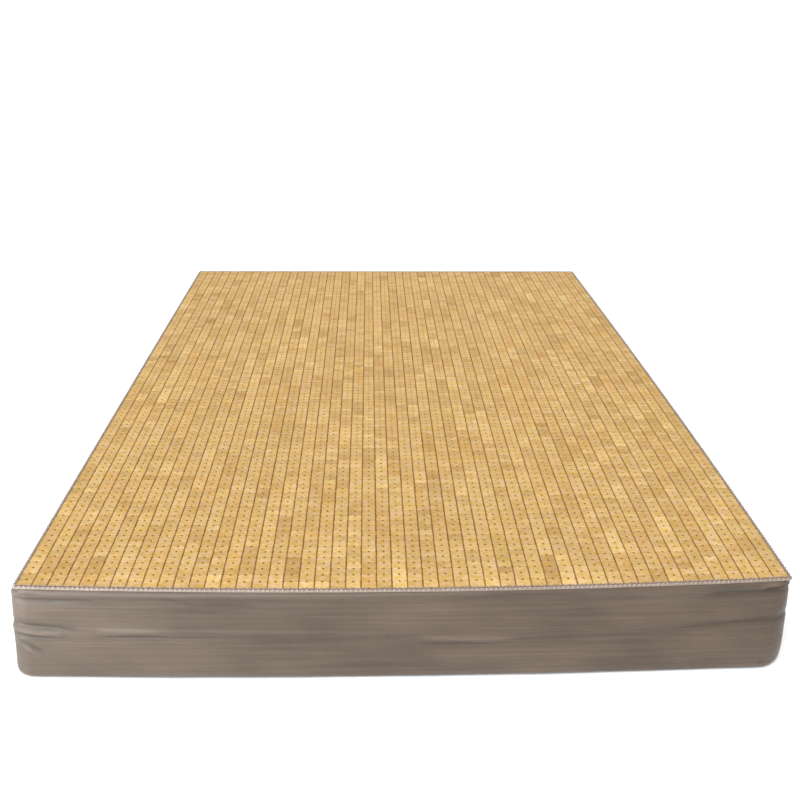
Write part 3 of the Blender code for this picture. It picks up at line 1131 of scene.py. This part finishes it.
class MAT_OT_tiles(bpy.types.Operator):
    """The tile field, in blocks of ten columns"""

    bl_idname = "bamboo_mat.tiles"
    bl_label = "Bamboo tiles"

    def execute(self, context):
        sizes = context.scene.bamboo_mat.sizes
        material = bamboo_material(sizes, context.scene.bamboo_mat.colours)
        rng = np.random.default_rng(TILE_SEED)
        slips = column_slips(sizes, rng)
        tile = model_tile(sizes)
        count = sizes.columns // TILE_BLOCKS
        for number in range(TILE_BLOCKS):
            block = bpy.data.objects.new("tiles", tile.data.copy())
            context.collection.objects.link(block)
            repeat(block, sizes.rows, (0.0, MAT_LENGTH / sizes.rows, 0.0))
            repeat(block, count, (MAT_WIDTH / sizes.columns, 0.0, 0.0))
            apply_modifiers(block)
            lay_tiles(block, number * count, count, slips, sizes, rng)
            dress(block, f"bamboo_tiles_{number + 1}", material, "bamboo", "bamboo_mat")
        bpy.data.objects.remove(tile, do_unlink=True)
        return {"FINISHED"}


# Cords and net


class MAT_OT_cords(bpy.types.Operator):
    """The cords that string the tiles, and the net cloth under them"""

    bl_idname = "bamboo_mat.cords"
    bl_label = "Cords and net"

    def string(self, sizes, places, height):
        """Cords along the mat at the given places across it, as one mesh."""
        curve = bpy.data.curves.new("cords", "CURVE")
        curve.dimensions = "3D"
        curve.bevel_depth = sizes.cord_radius
        curve.bevel_resolution = 1
        curve.use_fill_caps = True
        way = np.linspace(FIELD_INSET - HALF_L, HALF_L - FIELD_INSET, CORD_STEPS + 1)
        for place in places:
            spline = curve.splines.new("POLY")
            spline.points.add(CORD_STEPS)
            x, y = bowed(np.full_like(way, place), way)
            z = height - droop(np.full_like(way, place), way)
            flat = np.stack([x, y, z, np.ones_like(x)], axis=1)
            spline.points.foreach_set("co", flat.ravel())
        cords = bpy.data.objects.new("cords", curve)
        bpy.context.collection.objects.link(cords)
        choose(cords)
        bpy.ops.object.convert(target="MESH")
        cords = bpy.context.object
        edit(cords)
        bpy.ops.mesh.select_all(action="SELECT")
        bpy.ops.mesh.remove_doubles(threshold=TINY)
        bpy.ops.mesh.normals_make_consistent(inside=False)
        leave_edit()
        bpy.ops.object.shade_smooth_by_angle(angle=math.radians(60))
        return cords

    def mark_way(self, cords, places, height):
        """Keep metres along each cord, and the angle round it, for its twist."""
        points = points_of(cords.data)
        centres, _ = bowed(np.array(places)[None, :], points[:, 1][:, None])
        side = points[:, 0][:, None] - centres
        nearest = np.abs(side).argmin(axis=1)
        picked = np.array(places)[nearest]
        side = side[np.arange(len(points)), nearest]
        rise = points[:, 2] - height + droop(picked, points[:, 1])
        angle = np.arctan2(rise, side)
        way = np.stack([points[:, 1], np.cos(angle), np.sin(angle)], axis=1)
        store(cords.data, "thread_way", way)

    def execute(self, context):
        settings = context.scene.bamboo_mat
        sizes = settings.sizes
        material = cord_material(settings.colours)
        pitch = MAT_WIDTH / sizes.columns
        gaps = [-HALF_W + pitch * number for number in range(1, sizes.columns)]
        middles = [-HALF_W + pitch * (number + 0.5) for number in range(sizes.columns)]
        layers = (
            ("gap_cords", gaps, GAP_CORD_DEPTH),
            ("middle_cords", middles, MIDDLE_CORD_DEPTH),
        )
        for name, places, depth in layers:
            cords = self.string(sizes, places, MAT_TOP - depth)
            self.mark_way(cords, places, MAT_TOP - depth)
            dress(cords, name, material, "braid")

        deselect()
        across, along = NET_STEPS
        bpy.ops.mesh.primitive_grid_add(x_subdivisions=across, y_subdivisions=along, size=2.0)
        net = bpy.context.object
        points = points_of(net.data)
        x, y = points[:, 0] * (HALF_W - FIELD_INSET), points[:, 1] * (HALF_L - FIELD_INSET)
        z = MAT_TOP - sizes.tile_thick - NET_BELOW - droop(x, y)
        x, y = bowed(x, y)
        place_points(net.data, np.stack([x, y, z], axis=1))
        thick = net.modifiers.new("Net", "SOLIDIFY")
        thick.thickness = NET_THICK
        thick.offset = -1.0
        apply_modifiers(net)
        dress(net, "net_cloth", net_material(settings.colours), "braid")
        return {"FINISHED"}


# Braid


def rim_path():
    """A close line round the rim at the braid's middle, with its length so far."""
    ring = plan_ring(BRAID_OUT, [BRAID_OUT] * 4, RIM_STEPS)
    x, y = bowed(ring[:, 0], ring[:, 1])
    z = BRAID_HEIGHT - droop(ring[:, 0], ring[:, 1])
    path = np.stack([x, y, z], axis=1)
    path = np.vstack([path, path[:1]])
    way = np.concatenate([[0.0], np.cumsum(np.linalg.norm(np.diff(path, axis=0), axis=1))])
    return path, way


def rim_frames(count):
    """Places evenly round the rim, with the directions along it and outwards."""
    path, way = rim_path()
    total = way[-1]
    places = (np.arange(count) + 0.5) / count * total

    def at(distance):
        distance = distance % total
        return np.stack([np.interp(distance, way, path[:, axis]) for axis in range(3)], axis=1)

    along = at(places + RIM_NEAR) - at(places - RIM_NEAR)
    along /= np.linalg.norm(along, axis=1)[:, None]
    outward = np.stack([along[:, 1], -along[:, 0], np.zeros(count)], axis=1)
    outward /= np.linalg.norm(outward, axis=1)[:, None]
    return at(places), along, outward, places


class MAT_OT_braid(bpy.types.Operator):
    """The looped braid round the rim: its core, beads and loops"""

    bl_idname = "bamboo_mat.braid"
    bl_label = "Looped braid"

    def ring_of(self, unit, way, count, rng, wobble):
        """Repeat a unit round the rim, each copy a little uneven."""
        spacing = 0.01
        repeat(unit, count, (spacing, 0.0, 0.0))
        apply_modifiers(unit)
        points = points_of(unit.data)
        size = len(points) // count
        number = np.arange(len(points)) // size
        local = points - np.stack([number * spacing, 0 * number, 0 * number], axis=1)
        places, along, outward, _ = rim_frames(count)
        swell = 1.0 + rng.normal(0.0, wobble, count).clip(-SWELL_MOST, SWELL_MOST)
        turn = rng.normal(0.0, TURN_SHARE * wobble, count)
        local = local * swell[number][:, None]
        x = local[:, 0] - turn[number] * local[:, 2]
        z = local[:, 2] + turn[number] * local[:, 0]
        placed = places[number] + x[:, None] * along[number]
        placed += local[:, 1][:, None] * outward[number]
        placed[:, 2] += z
        place_points(unit.data, placed)
        store(unit.data, "thread_way", np.tile(way, (count, 1)))

    def bead(self, material, count, rng):
        """Beads of wrapped cream yarn, one in each loop."""
        deselect()
        bpy.ops.mesh.primitive_uv_sphere_add(segments=8, ring_count=6, radius=1.0)
        bead = bpy.context.object
        edit(bead)
        bpy.ops.mesh.select_all(action="SELECT")
        bpy.ops.transform.resize(value=BEAD_HALF_SIZES)
        leave_edit()
        points = points_of(bead.data)
        x, y, z = points.T
        turned_y = y * math.cos(BEAD_LEAN) + z * math.sin(BEAD_LEAN)
        turned_z = z * math.cos(BEAD_LEAN) - y * math.sin(BEAD_LEAN)
        angle = np.arctan2(y, x)
        way = np.stack([z, np.cos(angle), np.sin(angle)], axis=1)
        place_points(bead.data, np.stack(
            [x + BEAD_SLANT * z, turned_y + BEAD_OUT, turned_z + BEAD_UP], axis=1))
        bpy.ops.object.shade_smooth()
        self.ring_of(bead, way, count, rng, BEAD_WOBBLE)
        dress(bead, "braid_beads", material, "braid", "edge_braid")

    def loop(self, material, count, rng):
        """A thin mauve loop round each bead, which laps over the tiles' edge."""
        deselect()
        bpy.ops.mesh.primitive_torus_add(
            major_segments=12, minor_segments=5,
            major_radius=LOOP_RADIUS, minor_radius=LOOP_THREAD)
        loop = bpy.context.object
        points = points_of(loop.data)
        round_major = np.arctan2(points[:, 1], points[:, 0])
        from_ring = np.hypot(points[:, 0], points[:, 1]) - LOOP_RADIUS
        round_minor = np.arctan2(points[:, 2], from_ring)
        way = np.stack(
            [round_major * LOOP_RADIUS, np.cos(round_minor), np.sin(round_minor)], axis=1)
        x, y, z = points.T
        y, z = y * LOOP_TALL, z - LOOP_CURL * x * x
        turned_y = z * math.cos(LOOP_FACING) - y * math.sin(LOOP_FACING)
        turned_z = z * math.sin(LOOP_FACING) + y * math.cos(LOOP_FACING)
        place_points(loop.data, np.stack(
            [x * LOOP_WIDE + LOOP_SLANT * y, turned_y + LOOP_OUT, turned_z + LOOP_UP], axis=1))
        bpy.ops.object.shade_smooth()
        self.ring_of(loop, way, count, rng, LOOP_WOBBLE)
        dress(loop, "braid_loops", material, "braid", "edge_braid")

    def core(self, material):
        """The core cord under the beads and loops."""
        places, _, outward, way = rim_frames(CORE_STEPS)
        angle = 2.0 * math.pi * np.arange(CORE_SIDES + 1)[:, None, None] / CORE_SIDES
        rings = places + CORE_RADIUS * np.cos(angle) * outward
        rings[:, :, 2] += CORE_RADIUS * np.sin(angle)[:, :, 0]
        around = np.tile(angle[:, :, 0], (1, CORE_STEPS))
        along = np.tile(way, (CORE_SIDES + 1, 1))
        threads = np.stack([along, np.cos(around), np.sin(around)], axis=2)
        core = wrap_grid(rings, None, "thread_way", threads)
        edit(core)
        bpy.ops.mesh.select_all(action="SELECT")
        bpy.ops.mesh.normals_make_consistent(inside=False)
        leave_edit()
        bpy.ops.object.shade_smooth()
        dress(core, "braid_core", material, "braid", "edge_braid")

    def execute(self, context):
        settings = context.scene.bamboo_mat
        rng = np.random.default_rng(BRAID_SEED)
        cream = yarn_material("cream yarn", settings.colours.braid_cream, 700.0, 0.4)
        mauve = yarn_material("mauve yarn", settings.colours.braid_mauve, 420.0, 0.3)
        _, way = rim_path()
        count = round(way[-1] / settings.sizes.loop_pitch)
        deeper = times(settings.colours.braid_mauve, CORE_TONE)
        self.core(yarn_material("core yarn", deeper, 420.0, 0.1))
        self.bead(cream, count, rng)
        self.loop(mauve, count, rng)
        return {"FINISHED"}


# Stage


class MAT_OT_stage(bpy.types.Operator):
    """Plain floor, soft studio light, and the camera where the photograph was taken"""

    bl_idname = "bamboo_mat.stage"
    bl_label = "Stage"

    def floor(self, tone):
        deselect()
        bpy.ops.mesh.primitive_plane_add(size=FLOOR_SIZE, location=(0.0, 0.0, 0.0))
        floor = bpy.context.object
        floor.name = "floor"
        material, tree, shader = start_material("plain floor", 0.9)
        spread = mottle(tree, object_place(tree), 1.5)
        mottled = blend_colours(tree, spread.outputs["Slow"], times(tone, 0.985), tone)
        tree.links.new(mottled, shader.inputs["Base Color"])
        floor.data.materials.append(material)

    def light(self, name, kind, place, target, energy, **settings):
        """A light, turned towards its target."""
        data = bpy.data.lights.new(name, kind)
        data.energy = energy
        for key, value in settings.items():
            setattr(data, key, value)
        lamp = bpy.data.objects.new(name, data)
        lamp.location = place
        toward = Vector(target) - lamp.location
        lamp.rotation_euler = toward.to_track_quat("-Z", "Y").to_euler()
        bpy.context.collection.objects.link(lamp)

    def camera(self):
        sin_yaw, cos_yaw = math.sin(CAMERA_YAW), math.cos(CAMERA_YAW)
        sin_pitch, cos_pitch = math.sin(CAMERA_PITCH), math.cos(CAMERA_PITCH)
        forward = Vector((sin_yaw * cos_pitch, cos_yaw * cos_pitch, -sin_pitch))
        level = Vector((cos_yaw, -sin_yaw, 0.0))
        upright = level.cross(forward)
        right = level * math.cos(CAMERA_ROLL) + upright * math.sin(CAMERA_ROLL)
        up = upright * math.cos(CAMERA_ROLL) - level * math.sin(CAMERA_ROLL)
        data = bpy.data.cameras.new("camera")
        data.lens = CAMERA_LENS
        data.sensor_width = CAMERA_SENSOR
        data.shift_y = -CAMERA_DROP
        camera = bpy.data.objects.new("camera", data)
        bpy.context.collection.objects.link(camera)
        turned = Matrix((right, up, -forward)).transposed().to_4x4()
        camera.matrix_world = Matrix.Translation(CAMERA_PLACE) @ turned
        bpy.context.scene.camera = camera

    def execute(self, context):
        scene = context.scene
        self.floor(tuple(scene.bamboo_mat.colours.floor))
        # Wide and soft, from above the front; it also whitens the floor.
        self.light("window", "SUN", *WINDOW, angle=WINDOW_ANGLE)
        self.light("side", "AREA", *SIDE, shape="DISK", size=SIDE_SIZE, color=SIDE_COLOUR)
        world = bpy.data.worlds.new("studio")
        world.use_nodes = True
        background = world.node_tree.nodes["Background"]
        background.inputs["Color"].default_value = (1.0, 1.0, 1.0, 1.0)
        background.inputs["Strength"].default_value = SKY_STRENGTH
        scene.world = world
        scene.view_settings.view_transform = "Standard"
        self.camera()
        return {"FINISHED"}


class MAT_PT_panel(bpy.types.Panel):
    """Lists the mat's operators, sizes and colours"""

    bl_label = "Bamboo Mat"
    bl_space_type = "VIEW_3D"
    bl_region_type = "UI"
    bl_category = "Bamboo Mat"

    def draw(self, context):
        settings = context.scene.bamboo_mat
        for operator in OPERATORS:
            self.layout.operator(operator.bl_idname)
        for group in (settings.sizes, settings.colours):
            box = self.layout.box()
            for name in group.__annotations__:
                box.prop(group, name)


OPERATORS = (
    MAT_OT_stage, MAT_OT_mattress, MAT_OT_cover, MAT_OT_tiles, MAT_OT_cords, MAT_OT_braid,
)
CLASSES = (MatSizes, MatColours, MatSettings, *OPERATORS, MAT_PT_panel)


def register():
    for item in CLASSES:
        bpy.utils.register_class(item)
    bpy.types.Scene.bamboo_mat = PointerProperty(type=MatSettings)


def unregister():
    del bpy.types.Scene.bamboo_mat
    for item in reversed(CLASSES):
        bpy.utils.unregister_class(item)


def main():
    register()
    bpy.ops.bamboo_mat.stage()
    bpy.ops.bamboo_mat.mattress()
    bpy.ops.bamboo_mat.cover()
    bpy.ops.bamboo_mat.tiles()
    bpy.ops.bamboo_mat.cords()
    bpy.ops.bamboo_mat.braid()


if __name__ == "__main__":
    main()
